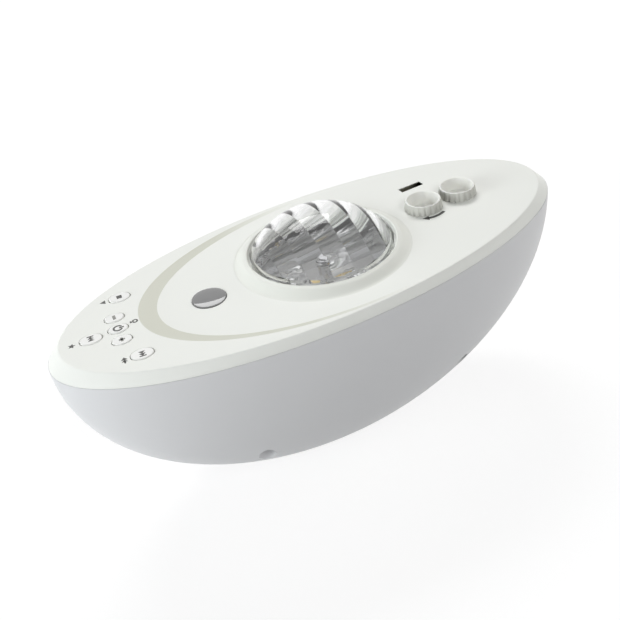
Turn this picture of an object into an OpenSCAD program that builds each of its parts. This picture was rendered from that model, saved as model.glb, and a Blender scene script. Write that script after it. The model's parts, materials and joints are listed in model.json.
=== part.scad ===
// Aurora projector: a boat-shaped table light with a dome lens of straight strips,
// a cluster of six press keys, two focus rings and a star window.
// Millimetres, Z up, origin on the table under the middle of the body,
// X along the body towards the focus rings.

/* [Body] */
// Length of the body at the parting line
body_len = 248; // [240:1:254]
// Width of the body at the parting line
body_wid = 104.8; // [102:0.1:108]
// Depth of the full ellipsoid below the parting line
hull_drop = 91.3; // [90.5:0.1:93]
// Height of the parting line above the table
rim_z = 86.3; // [86.3:0.1:87]
// Wall of the hull
wall = 2.5; // [2.2:0.1:2.8]
// How far the rubber feet lift the flat base
foot_lift = 1.2; // [0.8:0.1:1.6]

/* [Cover] */
// Height of the cover's rim above the parting line
cover_h = 5.7; // [5.5:0.1:6.2]
// How far the crest lies in from the body's ends
crest_in_x = 5.8; // [5:0.1:7]
// How far the crest lies in from the body's sides
crest_in_y = 0.2; // [0:0.1:1]
// Thickness of the panel
plate_t = 4; // [3.8:0.1:4.2]
// Depth of the locating lip inside the hull
lip_h = 4; // [3:0.5:5]
// Wall of the locating lip
lip_t = 1.8; // [1.4:0.1:2.2]
// Gap between the lip and the hull's wall
lip_gap = 0.25; // [0.15:0.05:0.3]
// Depth of the sunk deck at its deep end
deck_drop = 1.7; // [1.2:0.1:1.9]

/* [Dome] */
// Dome's place along the body
dome_x = 3.8; // [2:0.1:5]
// Radius of the dome at the bezel's lip
dome_r = 32.2; // [31.8:0.1:32.6]
// Rise of the dome above the bezel's lip
dome_rise = 16.3; // [14:0.1:18]
// Wall of the dome at its crown
dome_wall = 2.4; // [2:0.1:3]
// Angle that each strip inside the dome spans, seen from its axis
strip_step = 14.5; // [13:0.5:16]
// Angle from the crown to the nearest strip edge
strip_lean = 2; // [0:0.5:4]
// Turn of the strips in plan
dome_turn = -3; // [-6:0.5:6]
// Outer radius of the bezel ring
bezel_r = 40; // [39:0.1:41]
// Radius of the bezel's opening
bezel_lip_r = 33.2; // [33:0.1:33.6]
// Height of the bezel's lip above its seat
bezel_h = 4.7; // [4.4:0.1:5.2]

/* [Keys] */
// Key cluster's middle from the end of the body
key_in = 31.8; // [30.5:0.1:33]
// Key cluster's middle across the body
key_y = 2.7; // [1.5:0.1:3]
// Turn of the key cluster in plan
key_turn = -8.4; // [-10:0.1:-6]
// Large key half length
big_rx = 4.65; // [4.2:0.05:4.8]
// Large key half width
big_ry = 3.5; // [3.2:0.05:3.7]
// Small key half length
small_rx = 4.15; // [3.8:0.05:4.3]
// Small key half width
small_ry = 3.1; // [2.8:0.05:3.2]
// Pitch of the small keys
small_pitch = 8.9; // [8.7:0.1:9.4]
// Gap around each key
key_gap = 0.3; // [0.2:0.05:0.4]
// Height of the keys above the panel
key_proud = 0.3; // [0.2:0.1:0.6]
// Travel of a key
key_travel = 0.6; // [0.4:0.1:0.7]

/* [Focus rings] */
// Inner ring's middle from the dome's middle
ring_off = 54.5; // [53.7:0.1:55]
// Pitch of the two rings
ring_pitch = 19.2; // [18.9:0.1:19.8]
// Radius of a ring at its foot
ring_r1 = 8.9; // [8.6:0.1:9.2]
// Radius of a ring at its top
ring_r2 = 8.2; // [8:0.1:8.4]
// Height of a ring's head
ring_h = 4.6; // [4.2:0.1:5]
// Flutes around a ring
ring_flutes = 20; // [16:1:24]
// Radius of a ring's neck
neck_r = 6.2; // [6:0.05:6.3]
// Running clearance of turning and sliding pieces
run_fit = 0.06; // [0.03:0.01:0.08]

/* [Star window and port] */
// Star window's middle from the dome's middle
star_off = 55.8; // [55:0.1:56.5]
// Radius of the star window
star_r = 7.5; // [7:0.1:7.8]
// Port's middle behind the rings' middle, along the body
port_back = 2.3; // [1.7:0.1:2.9]
// Port's place across the body
port_y = 21.4; // [21:0.1:22]
// Length of the port's opening
port_l = 12.2; // [12:0.1:12.4]
// Width of the port's opening
port_w = 4; // [3.6:0.1:4.4]
// Wall of the port's socket where it fills the slot
port_rim = 0.5; // [0.4:0.05:0.6]

/* [Drive] */
// Tooth module of the ripple wheel and pinion
gear_m = 1; // [0.98:0.01:1.02]
// Teeth on the ripple wheel
wheel_teeth = 60; // [56:2:60]
// Teeth on the drive pinion
pinion_teeth = 15; // [14:1:16]
// Thinning of each tooth flank for backlash
backlash = 0.1; // [0.08:0.01:0.14]
// Radius of the wheel's axle
axle_r = 1.5; // [1.4:0.05:1.7]

/* [Screws] */
// Shank radius of the case screws
case_shank_r = 1.4; // [1.3:0.05:1.5]
// Shank radius of the small screws
small_shank_r = 1; // [0.9:0.05:1.1]
// Case screws' place along the body
case_sx = 52; // [51:0.5:53]
// Case screws' distance in from the body's sides
case_in = 22.4; // [22:0.1:23]
// Radius of the screw pockets in the hull
pocket_r = 4; // [3.8:0.1:4.2]

/* [Hidden] */
$fn = 96;
eps = 0.02;
ra = body_len / 2;
rb = body_wid / 2;
top_z = rim_z + cover_h;
under_z = top_z - plate_t;
lip_in = wall + lip_gap;
floor_z = foot_lift + wall;
key_x = key_in - ra;
ring_x1 = dome_x + ring_off;
ring_x2 = ring_x1 + ring_pitch;
ring_mid = (ring_x1 + ring_x2) / 2;
star_x = dome_x - star_off;
port_x = ring_mid - port_back;
case_sy = rb - case_in;
deck_x1 = ra - 24;
deck_foot_x0 = 49 - ra;
deck_foot_rb = rb - 3.4;
deck_edge_x0 = 42 - ra;
deck_edge_rb = rb - 2.2;
deck_tilt = atan(deck_drop / (deck_x1 - deck_foot_x0));
seat_z = top_z - deck_drop;
lip_z = seat_z + bezel_h;
hole_r = 32.2;
flange_r = 36.5;
flange_t = 2;
swell_w = 5.6;
dome_in_r = dome_r - 2.6;
key_top = top_z + key_proud;
key_flange_top = under_z - 0.25;
key_flange_t = 1;
board_t = 1.6;
switch_h = 3.5;
plunger_r = 1.7;
key_board_z = under_z - 6.8;
plunger_low = key_board_z + 0.6 + key_travel;
plunger_top = key_board_z + switch_h + 0.8;
frame_r = 34.2;
frame_in_r = 31.9;
frame_z = under_z - 18;
sink_z = frame_z - 3;
ear_d = 38.2;
ear_r = 3.6;
wheel_z = under_z - 4;
wheel_t = 2.4;
gear_dist = gear_m * (wheel_teeth + pinion_teeth) / 2 + 0.1;
motor_x = dome_x - gear_dist;
motor_r = 7.5;
bay_r = motor_r + 4.5;
bracket_z = under_z - 8;
ring_z = deck_z(ring_x2) + 0.25;
carrier_z = under_z - 6.5;
carrier_t = 2.5;
sleeve_r = 8;
neck_z = carrier_z - 2;
barrel_z = neck_z - 5.5;
barrel_r = 4.9;
column_y = 10;
column_r = 2;
lamp_z = under_z - 26;
port_board_z = under_z - 14;
holder_z = under_z - 10;
main_z = 20;
post_z = 38;
foot_r = 3.2;
speaker_r = 15;
inlet_x = 30;
inlet_z = 45;
inlet_y = rb - 9.9;

// Height of the tilted deck at a place along the body
function deck_z(x) = top_z - deck_drop * (deck_x1 - x) / (deck_x1 - deck_foot_x0);
// Half length and half width of a key
function key_half(i) = i < 3 ? [big_rx, big_ry] : [small_rx, small_ry];
// Keys in the cluster: rear, front, end, small rear, power, small front
function key_at(i) = i == 0 ? [5, 23.9] : i == 1 ? [5.6, -23] : i == 2 ? [-11.7, -1.5]
    : i == 3 ? [0, small_pitch] : i == 4 ? [0, 0] : [0, -small_pitch];
// Involute of an angle, in degrees
function inv(a) = tan(a) * 180 / PI - a;
// Half angle of a tooth at radius r
function tooth_half(r, z, rp, base) =
    90 / z - backlash / rp * 180 / PI + inv(25) - inv(acos(min(1, base / r)));
function polar(r, a) = [r * cos(a), r * sin(a)];
// Outline of an involute gear
function gear_points(z, m) = let(
    rp = z * m / 2,
    base = rp * cos(25),
    tip = rp + 0.9 * m,
    root = rp - 1.2 * m,
    low = max(base * 1.002, root + 0.08))
    [for (k = [0:z - 1]) each concat(
        [polar(root, k * 360 / z - tooth_half(low, z, rp, base))],
        [for (i = [0:3]) let(r = low + (tip - low) * i / 3)
            polar(r, k * 360 / z - tooth_half(r, z, rp, base))],
        [for (i = [3:-1:0]) let(r = low + (tip - low) * i / 3)
            polar(r, k * 360 / z + tooth_half(r, z, rp, base))],
        [polar(root, k * 360 / z + tooth_half(low, z, rp, base))])];

// Upright oval
module oval(rx, ry, h) {
  scale([rx, ry, 1]) cylinder(r = 1, h = h);
}

// Thin oval slice for a loft
module slice(rx, ry, h) {
  linear_extrude(height = h) scale([rx, ry]) circle(r = 1, $fn = 144);
}

// Ellipsoid of the hull, moved in by d
module hull_body(d) {
  translate([0, 0, rim_z]) scale([ra - d, rb - d, hull_drop - d]) sphere(r = 1);
}

// Level slab between two heights
module slab(z0, z1) {
  translate([-ra - 5, -rb - 5, z0]) cube([2 * ra + 10, 2 * rb + 10, z1 - z0]);
}

// Places of the four case screws
module at_case() {
  for (sx = [-1, 1]) for (sy = [-1, 1]) translate([sx * case_sx, sy * case_sy, 0]) children();
}

// Places of the four rubber feet
module at_feet() {
  for (sx = [-1, 1]) for (sy = [-1, 1]) translate([sx * 33, sy * 8.5, 0]) children();
}

// Frame of the key cluster
module at_keys() {
  translate([key_x, key_y, 0]) rotate([0, 0, key_turn]) children();
}

// Places of the key board's bosses
module at_key_bosses() {
  at_keys() for (p = [[-10, 12], [-10, -12], [8.5, 0]]) translate([p[0], p[1], 0]) children();
}

// Places of the light frame's ears
module at_ears() {
  for (a = [0, 120, 240]) translate([dome_x, 0, 0]) rotate([0, 0, a]) translate([ear_d, 0, 0]) children();
}

// Ears with webs that reach in to the round frame
module ears(z, h) {
  at_ears() translate([0, 0, z]) {
    cylinder(r = ear_r, h = h);
    translate([frame_r - 1 - ear_d, -2.5, 0]) cube([ear_d - frame_r + 1, 5, h]);
  }
}

// Places of the motor bracket's bosses
module at_bracket() {
  for (s = [-1, 1]) translate([motor_x, s * 14, 0]) children();
}

// Places of the two lens columns on each side
module at_columns() {
  for (x = [ring_x1, ring_x2]) for (s = [-1, 1]) translate([x, s * column_y, 0]) children();
}

// Places of the lens carrier's bosses
module at_carrier() {
  for (s = [-1, 1]) translate([ring_mid, s * 10.5, 0]) children();
}

// Places of the port board's bosses
module at_port() {
  for (s = [-1, 1]) translate([port_x + s * 10.6, port_y, 0]) children();
}

// Places of the laser holder's bosses
module at_laser() {
  for (s = [-1, 1]) translate([star_x, s * 14, 0]) children();
}

// Places of the main board's posts
module at_posts() {
  for (sx = [-1, 1]) for (sy = [-1, 1]) translate([sx * 30, sy * 10, 0]) children();
}

// Boss hanging from the cover down to z, with a pilot bore
module boss(z, r, pilot) {
  difference() {
    translate([0, 0, z]) cylinder(r = r, h = under_z + 0.5 - z);
    translate([0, 0, z - 1]) cylinder(r = pilot, h = 7);
  }
}

// Screw with its head seated at z = 0, the shank pointing up
module screw(shank_r, shank_l, head_r, head_h) {
  difference() {
    union() {
      translate([0, 0, -head_h]) cylinder(r = head_r, h = head_h);
      cylinder(r = shank_r, h = shank_l);
    }
    for (a = [0, 90]) rotate([0, 0, a])
      translate([-head_r * 0.6, -0.25, -head_h - 1]) cube([head_r * 1.2, 0.5, 1.8]);
  }
}

module small_screw() {
  screw(small_shank_r, 6, 1.9, 1.3);
}

module lower_shell() {
  color([0.93, 0.93, 0.91])
  difference() {
    union() {
      difference() {
        intersection() {
          hull_body(0);
          slab(foot_lift, rim_z);
        }
        intersection() {
          hull_body(wall);
          slab(floor_z, rim_z + 1);
        }
      }
      intersection() {
        union() {
          at_case() translate([0, 0, 4]) cylinder(r = pocket_r + 2, h = post_z - 4);
          at_posts() translate([0, 0, 3]) cylinder(r = 2.8, h = main_z - 3);
          translate([inlet_x, inlet_y - 5.5, inlet_z]) rotate([-90, 0, 0]) cylinder(r = 8, h = 12);
        }
        hull_body(wall / 4);
      }
    }
    at_case() translate([0, 0, -1]) cylinder(r = pocket_r, h = post_z - 2);
    at_case() translate([0, 0, -1]) cylinder(r = case_shank_r + 0.3, h = post_z + 5);
    at_posts() translate([0, 0, main_z - 8]) cylinder(r = small_shank_r + eps, h = 10);
    at_feet() cylinder(r = foot_r + 0.1, h = foot_lift + 0.8);
    translate([inlet_x, inlet_y, inlet_z]) rotate([-90, 0, 0]) cylinder(r = 6, h = 12);
    translate([inlet_x, inlet_y - 12.5, inlet_z]) rotate([-90, 0, 0]) cylinder(r = 4 + eps, h = 20);
    cylinder(r = 1.1, h = 8);
    for (i = [0:5]) rotate([0, 0, i * 60]) translate([5, 0, 0]) cylinder(r = 1.1, h = 8);
    for (i = [0:11]) rotate([0, 0, i * 30]) translate([10, 0, 0]) cylinder(r = 1.1, h = 8);
  }
}

module cover_blank() {
  difference() {
    hull() {
      translate([0, 0, rim_z]) slice(ra, rb, 0.3);
      translate([0, 0, top_z - 0.5]) slice(ra - crest_in_x, rb - crest_in_y, 0.1);
      translate([0, 0, top_z - 0.1]) slice(ra - crest_in_x - 0.5, rb - crest_in_y - 0.5, 0.1);
    }
    translate([0, 0, rim_z - 1]) oval(ra - wall - 0.9, rb - wall - 0.9, under_z - rim_z + 1);
  }
  difference() {
    translate([0, 0, rim_z - lip_h]) oval(ra - lip_in, rb - lip_in, under_z - rim_z + lip_h + 0.3);
    translate([0, 0, rim_z - lip_h - 1]) oval(ra - lip_in - lip_t, rb - lip_in - lip_t, 20);
  }
}

// Sunk deck: its edge lies on the panel, its foot on a plane that rises to the panel
module deck_cut() {
  hull() {
    translate([(deck_x1 + deck_edge_x0) / 2, 0, top_z])
      slice((deck_x1 - deck_edge_x0) / 2 + 0.2, deck_edge_rb, 2);
    translate([deck_x1, 0, top_z]) rotate([0, -deck_tilt, 0])
      translate([(deck_foot_x0 - deck_x1) / 2, 0, 0])
      slice((deck_x1 - deck_foot_x0) / 2, deck_foot_rb, 0.01);
  }
}

module top_cover() {
  color([0.93, 0.93, 0.9])
  difference() {
    union() {
      cover_blank();
      at_case() boss(post_z, 4.2, case_shank_r + eps);
      at_key_bosses() boss(key_board_z, 2.6, small_shank_r + eps);
      at_ears() boss(under_z - 6, ear_r, small_shank_r + eps);
      at_bracket() boss(bracket_z, 2.8, small_shank_r + eps);
      at_carrier() boss(carrier_z + carrier_t, 2.8, small_shank_r + eps);
      at_port() boss(port_board_z, 2.6, small_shank_r + eps);
      at_laser() boss(holder_z, 2.8, small_shank_r + eps);
    }
    deck_cut();
    translate([dome_x, 0, 60]) cylinder(r = hole_r, h = 60);
    translate([dome_x, 0, seat_z]) cylinder(r = bezel_r + 0.05, h = 10);
    translate([star_x, 0, 60]) cylinder(r = star_r + 0.1, h = 60);
    for (i = [0:5]) at_keys() translate([key_at(i)[0], key_at(i)[1], under_z - 1])
      oval(key_half(i)[0] + key_gap, key_half(i)[1] + key_gap, 10);
    for (x = [ring_x1, ring_x2]) translate([x, 0, 60]) cylinder(r = neck_r + 0.4, h = 60);
    translate([port_x, port_y, under_z + 4])
      cube([port_l + 2 * port_rim + 0.2, port_w + 2 * port_rim + 0.2, 10], center = true);
  }
}

// Ring that swells out of the deck in a soft curve and turns in at the dome
module dome_bezel() {
  color([0.93, 0.93, 0.9])
  translate([dome_x, 0, 0])
  rotate_extrude()
  polygon(concat(
    [[flange_r + 0.2, seat_z], [bezel_r, seat_z]],
    [for (a = [0:15:180])
      [bezel_r - swell_w * a / 180, seat_z + 0.75 + (bezel_h - 0.95) * (1 - cos(a)) / 2]],
    [[bezel_lip_r + 0.8, lip_z], [bezel_lip_r + 0.25, lip_z - 0.12], [bezel_lip_r, lip_z - 0.5],
     [bezel_lip_r, seat_z + flange_t + eps], [flange_r + 0.2, seat_z + flange_t + eps]]));
}

// Radius of the ball under a cap with base radius b and rise h
function cap_ball(b, h) = (b * b + h * h) / (2 * h);

// Straight strips across a ball, each a cone about one level axis, with their edges on the ball
module strip_ball(ball) {
  edges = [for (k = [-5:5]) strip_lean + k * strip_step];
  rotate([0, 90, dome_turn])
  rotate_extrude()
  polygon(concat([[0, ball * sin(edges[0])]], [for (a = edges) [ball * cos(a), ball * sin(a)]],
    [[0, ball * sin(edges[10])]]));
}

// Clear dome, smooth outside and cut into strips inside, on a flange under the bezel
module dome_lens() {
  out_ball = cap_ball(dome_r, dome_rise);
  in_rise = dome_rise - dome_wall;
  in_ball = cap_ball(dome_in_r, in_rise);
  color([0.85, 0.9, 0.95, 0.4])
  translate([dome_x, 0, 0])
  difference() {
    union() {
      translate([0, 0, seat_z]) cylinder(r = flange_r, h = flange_t);
      intersection() {
        translate([0, 0, seat_z]) cylinder(r = dome_r, h = bezel_h + dome_rise + 5);
        translate([0, 0, lip_z + dome_rise - out_ball]) sphere(r = out_ball);
      }
    }
    intersection() {
      translate([0, 0, seat_z - 1]) cylinder(r = dome_in_r, h = bezel_h + dome_rise + 1);
      translate([0, 0, lip_z + in_rise - in_ball]) strip_ball(in_ball);
    }
  }
}

module star_window() {
  crown_r = 30;
  color([0.3, 0.3, 0.32])
  translate([star_x, 0, 0])
  union() {
    translate([0, 0, under_z - 1.6]) cylinder(r = star_r + 1.5, h = 1.6);
    intersection() {
      translate([0, 0, under_z - 1]) cylinder(r = star_r, h = 8);
      translate([0, 0, top_z - 0.2 - crown_r]) sphere(r = crown_r);
    }
  }
}

// Key: an oval cap on a flange, with a stem down to the switch
module key(i) {
  h = key_half(i);
  color([0.95, 0.95, 0.93])
  at_keys() translate([key_at(i)[0], key_at(i)[1], 0]) {
    translate([0, 0, key_flange_top - 0.5]) oval(h[0], h[1], key_top - 0.4 - key_flange_top + 0.5);
    translate([0, 0, key_top - 0.4]) scale([h[0], h[1], 1]) cylinder(r1 = 1, r2 = 0.9, h = 0.4);
    translate([0, 0, key_flange_top - key_flange_t]) oval(h[0] + 0.75, h[1] + 0.75, key_flange_t);
    translate([0, 0, plunger_top]) cylinder(r = 1.6, h = key_flange_top - plunger_top);
  }
}

module plunger(i) {
  color([0.12, 0.12, 0.13])
  at_keys() translate([key_at(i)[0], key_at(i)[1], plunger_low])
    cylinder(r = plunger_r, h = plunger_top - plunger_low);
}

module rear_key() {
  key(0);
}

module front_key() {
  key(1);
}

module end_key() {
  key(2);
}

module small_rear_key() {
  key(3);
}

module power_key() {
  key(4);
}

module small_front_key() {
  key(5);
}

module rear_plunger() {
  plunger(0);
}

module front_plunger() {
  plunger(1);
}

module end_plunger() {
  plunger(2);
}

module small_rear_plunger() {
  plunger(3);
}

module power_plunger() {
  plunger(4);
}

module small_front_plunger() {
  plunger(5);
}

module switch_bodies() {
  color([0.2, 0.2, 0.22])
  for (i = [0:5]) at_keys() translate([key_at(i)[0], key_at(i)[1], key_board_z])
    difference() {
      translate([-3, -3, 0]) cube([6, 6, switch_h]);
      translate([0, 0, 0.3]) cylinder(r = plunger_r + run_fit, h = switch_h);
    }
}

module key_board() {
  color([0.1, 0.35, 0.2])
  difference() {
    at_keys() translate([0, 0, key_board_z - board_t]) {
      translate([-16.5, -15.5, 0]) cube([28, 31, board_t]);
      translate([-2.5, -27, 0]) cube([12.5, 54, board_t]);
    }
    at_key_bosses() translate([0, 0, key_board_z - 5]) cylinder(r = small_shank_r + 0.15, h = 10);
  }
}

// Focus ring: a fluted, tapered head with a wide cup of a mouth on a long neck
module focus_ring(x) {
  lean = atan((ring_r1 - ring_r2) / ring_h);
  color([0.93, 0.93, 0.9])
  translate([x, 0, 0])
  difference() {
    union() {
      translate([0, 0, ring_z]) cylinder(r1 = ring_r1, r2 = ring_r2 + 0.12, h = ring_h - 0.5);
      translate([0, 0, ring_z + ring_h - 0.5]) cylinder(r1 = ring_r2, r2 = ring_r2 - 0.4, h = 0.5);
      translate([0, 0, neck_z]) cylinder(r = neck_r, h = ring_z + 1 - neck_z);
    }
    for (k = [0:ring_flutes - 1]) rotate([0, 0, k * 360 / ring_flutes])
      translate([ring_r1 + 0.45, 0, ring_z]) rotate([0, -lean, 0])
      translate([0, 0, -2]) cylinder(r = 0.85, h = ring_h + 3);
    translate([0, 0, ring_z + 0.4]) cylinder(r1 = 6, r2 = ring_r2 - 0.9, h = ring_h - 0.39);
    translate([0, 0, neck_z - 1]) cylinder(r = 3.3, h = ring_z - neck_z + 3);
    translate([0, 0, neck_z - 1]) cylinder(r = barrel_r + run_fit, h = ring_z - 2.4 - neck_z + 1);
    translate([0, 0, neck_z + 0.7]) difference() {
      cylinder(r = neck_r + 1, h = 1);
      cylinder(r = neck_r - 0.5, h = 1);
    }
  }
}

// Open clip in the neck's groove, under the carrier's sleeve
module ring_clip(x) {
  color([0.5, 0.5, 0.52])
  translate([x, 0, neck_z + 0.72])
  difference() {
    cylinder(r = neck_r + 1.3, h = 0.96);
    translate([0, 0, -1]) cylinder(r = neck_r - 0.5, h = 3);
    translate([-2, -neck_r - 3, -1]) cube([4, 5, 3]);
  }
}

// Lens barrel: a tube with an arm that rides on a column
module lens_barrel(x) {
  color([0.13, 0.13, 0.14])
  translate([x, 0, barrel_z])
  difference() {
    union() {
      cylinder(r = barrel_r, h = 13.5);
      translate([-2.6, 0, 0]) cube([5.2, column_y, 2.5]);
      translate([0, column_y, 0]) cylinder(r = column_r + 1.4, h = 2.5);
    }
    translate([0, 0, -1]) cylinder(r = 3.4, h = 20);
    translate([0, 0, 9]) cylinder(r = 4.2, h = 10);
    translate([0, column_y, -1]) cylinder(r = column_r + run_fit, h = 5);
  }
}

// Focus lens resting on the barrel's inner step
module focus_lens(x) {
  bulge = 14;
  color([0.8, 0.85, 0.95, 0.5])
  translate([x, 0, barrel_z + 9])
  intersection() {
    cylinder(r = 4.2 - eps, h = 3.4);
    translate([0, 0, 3.4 - bulge]) sphere(r = bulge);
  }
}

module inner_focus_ring() {
  focus_ring(ring_x1);
}

module outer_focus_ring() {
  focus_ring(ring_x2);
}

module inner_ring_clip() {
  ring_clip(ring_x1);
}

module outer_ring_clip() {
  ring_clip(ring_x2);
}

module inner_lens_barrel() {
  lens_barrel(ring_x1);
}

module outer_lens_barrel() {
  lens_barrel(ring_x2);
}

module inner_focus_lens() {
  focus_lens(ring_x1);
}

module outer_focus_lens() {
  focus_lens(ring_x2);
}

module lens_carrier() {
  color([0.16, 0.16, 0.17])
  difference() {
    union() {
      translate([ring_mid - 20, -13.5, carrier_z]) cube([40, 27, carrier_t]);
      for (x = [ring_x1, ring_x2]) translate([x, 0, carrier_z])
        cylinder(r = sleeve_r, h = under_z - carrier_z);
      at_columns() translate([0, 0, lamp_z]) cylinder(r = column_r, h = carrier_z + 1 - lamp_z);
    }
    for (x = [ring_x1, ring_x2]) translate([x, 0, carrier_z - 1]) cylinder(r = neck_r + run_fit, h = 20);
    at_carrier() translate([0, 0, carrier_z - 1]) cylinder(r = small_shank_r + 0.15, h = 20);
    at_columns() translate([0, 0, lamp_z - 1]) cylinder(r = small_shank_r + eps, h = 7);
  }
}

module lamp_board() {
  color([0.1, 0.35, 0.2])
  difference() {
    translate([ring_mid - 19, -13, lamp_z - board_t]) cube([38, 26, board_t]);
    at_columns() translate([0, 0, lamp_z - 5]) cylinder(r = small_shank_r + 0.15, h = 10);
  }
}

module slide_lamps() {
  color([0.95, 0.9, 0.6])
  for (x = [ring_x1, ring_x2]) translate([x, 0, lamp_z]) {
    translate([-1.75, -1.75, 0]) cube([3.5, 3.5, 1]);
    translate([0, 0, 1]) cylinder(r1 = 1.6, r2 = 1.1, h = 0.8);
  }
}

module lamp_tubes() {
  color([0.16, 0.16, 0.17])
  for (x = [ring_x1, ring_x2]) translate([x, 0, lamp_z]) difference() {
    cylinder(r = 6, h = 6.5);
    translate([0, 0, -1]) cylinder(r = 4, h = 10);
    translate([0, 0, 6.1]) cylinder(r = 5, h = 2);
  }
}

module slide_films() {
  color([0.3, 0.4, 0.7, 0.6])
  for (x = [ring_x1, ring_x2]) translate([x, 0, lamp_z + 6.1]) cylinder(r = 5 - eps, h = 0.3);
}

module port_socket() {
  mouth_z = deck_z(port_x) - 0.4;
  color([0.15, 0.15, 0.16])
  translate([port_x, port_y, port_board_z]) {
    difference() {
      union() {
        translate([-port_l / 2 - 1, -port_w / 2 - 1, 0])
          cube([port_l + 2, port_w + 2, under_z - port_board_z]);
        translate([-port_l / 2 - port_rim, -port_w / 2 - port_rim, 0])
          cube([port_l + 2 * port_rim, port_w + 2 * port_rim, mouth_z - port_board_z]);
      }
      translate([-port_l / 2, -port_w / 2, 1.5]) cube([port_l, port_w, 30]);
    }
    translate([-5, -1.6, 1]) cube([10, 1.6, 10.5]);
  }
}

module port_board() {
  color([0.1, 0.35, 0.2])
  difference() {
    translate([port_x - 13.2, port_y - 3.8, port_board_z - board_t]) cube([26.4, 7.6, board_t]);
    at_port() translate([0, 0, port_board_z - 5]) cylinder(r = small_shank_r + 0.15, h = 10);
  }
}

// Round opening that lets the motor and its bracket stand close to the wheel
module motor_bay() {
  translate([motor_x, 0, 40]) cylinder(r = bay_r, h = 60);
}

// Silvered ring that carries the light engine and throws its light up
module light_frame() {
  color([0.78, 0.79, 0.8])
  difference() {
    union() {
      translate([dome_x, 0, frame_z]) cylinder(r = frame_r, h = under_z - frame_z);
      ears(frame_z, under_z - 6 - frame_z);
    }
    translate([dome_x, 0, frame_z - 1]) cylinder(r = frame_in_r, h = 40);
    at_ears() translate([0, 0, frame_z - 1]) cylinder(r = small_shank_r + 0.2, h = 30);
    motor_bay();
  }
}

module heat_sink() {
  color([0.75, 0.76, 0.78])
  difference() {
    union() {
      translate([dome_x, 0, sink_z]) cylinder(r = frame_r, h = 3);
      ears(sink_z, 3);
      for (k = [-3:3]) translate([dome_x - 22, k * 6 - 0.8, sink_z - 10]) cube([44, 1.6, 10.5]);
    }
    at_ears() translate([0, 0, sink_z - 1]) cylinder(r = small_shank_r + 0.2, h = 10);
    translate([dome_x, 0, sink_z - 15]) cylinder(r = axle_r + eps, h = 30);
    motor_bay();
  }
}

module frame_screws() {
  color([0.7, 0.7, 0.72])
  at_ears() translate([0, 0, sink_z]) screw(small_shank_r, 20, 2, 1.4);
}

module led_board() {
  color([0.9, 0.9, 0.88])
  difference() {
    translate([dome_x, 0, frame_z]) cylinder(r = 27, h = board_t);
    translate([dome_x, 0, frame_z - 1]) cylinder(r = axle_r + 0.2, h = 10);
  }
}

// Places of the colour lamps
module at_leds() {
  for (a = [45:90:315]) translate([dome_x, 0, frame_z + board_t]) rotate([0, 0, a])
    translate([17, 0, 0]) children();
}

module color_leds() {
  color([0.95, 0.85, 0.4])
  at_leds() {
    translate([-2.5, -2.5, 0]) cube([5, 5, 1]);
    translate([0, 0, 1]) cylinder(r = 2, h = 0.6);
  }
}

module led_lenses() {
  color([0.85, 0.9, 0.95, 0.4])
  at_leds() rotate_extrude()
    polygon([[0, 4.4], [3, 3.4], [5, 0], [6.4, 0], [7, 6.6], [6, 7.4], [4, 8.3], [2, 8.8], [0, 9]]);
}

module wheel_axle() {
  color([0.75, 0.76, 0.78])
  translate([dome_x, 0, 0]) {
    translate([0, 0, sink_z]) cylinder(r = axle_r, h = wheel_z + wheel_t + 1.8 - sink_z);
    translate([0, 0, frame_z + board_t]) cylinder(r = 3.2, h = wheel_z - 0.7 - frame_z - board_t);
  }
}

// Clear wheel with broad, shallow waves on top and teeth around its rim
module ripple_wheel() {
  color([0.8, 0.88, 0.95, 0.5])
  translate([dome_x, 0, wheel_z])
  difference() {
    union() {
      linear_extrude(height = wheel_t) polygon(gear_points(wheel_teeth, gear_m));
      translate([0, 0, -0.6]) cylinder(r = 4, h = wheel_t + 1.2);
      intersection() {
        translate([0, 0, wheel_t - 0.6]) cylinder(r = 27, h = 1);
        for (k = [-4:4]) translate([0, k * 7, wheel_t + 0.2 - 30]) rotate([0, 90, 0])
          cylinder(r = 30, h = 60, center = true);
      }
    }
    translate([0, 0, -5]) cylinder(r = axle_r + run_fit, h = 20);
  }
}

module wheel_clip() {
  color([0.5, 0.5, 0.52])
  translate([dome_x, 0, wheel_z + wheel_t + 0.7])
  difference() {
    cylinder(r = 3, h = 0.8);
    translate([0, 0, -1]) cylinder(r = axle_r, h = 3);
  }
}

module drive_pinion() {
  color([0.92, 0.92, 0.88])
  translate([motor_x, 0, wheel_z - 0.3])
  difference() {
    rotate([0, 0, 180 / pinion_teeth])
      linear_extrude(height = 3) polygon(gear_points(pinion_teeth, gear_m));
    translate([0, 0, -1]) cylinder(r = 1, h = 6);
  }
}

module motor_shaft() {
  color([0.75, 0.76, 0.78])
  translate([motor_x, 0, bracket_z - 4]) cylinder(r = 1, h = wheel_z + 2.7 - bracket_z + 4);
}

module drive_motor() {
  color([0.7, 0.71, 0.72])
  translate([motor_x, 0, bracket_z - 1.5])
  difference() {
    union() {
      translate([0, 0, -14]) cylinder(r = motor_r, h = 14);
      cylinder(r = 3, h = 1.5);
    }
    translate([0, 0, -8]) cylinder(r = 1 + run_fit, h = 20);
  }
}

module motor_bracket() {
  color([0.75, 0.76, 0.78])
  difference() {
    union() {
      translate([motor_x - 5, -14, bracket_z - 1.5]) cube([10, 28, 1.5]);
      at_bracket() translate([0, 0, bracket_z - 1.5]) cylinder(r = 4, h = 1.5);
    }
    translate([motor_x, 0, bracket_z - 3]) cylinder(r = 3 + eps, h = 6);
    at_bracket() translate([0, 0, bracket_z - 3]) cylinder(r = small_shank_r + 0.15, h = 6);
  }
}

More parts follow.
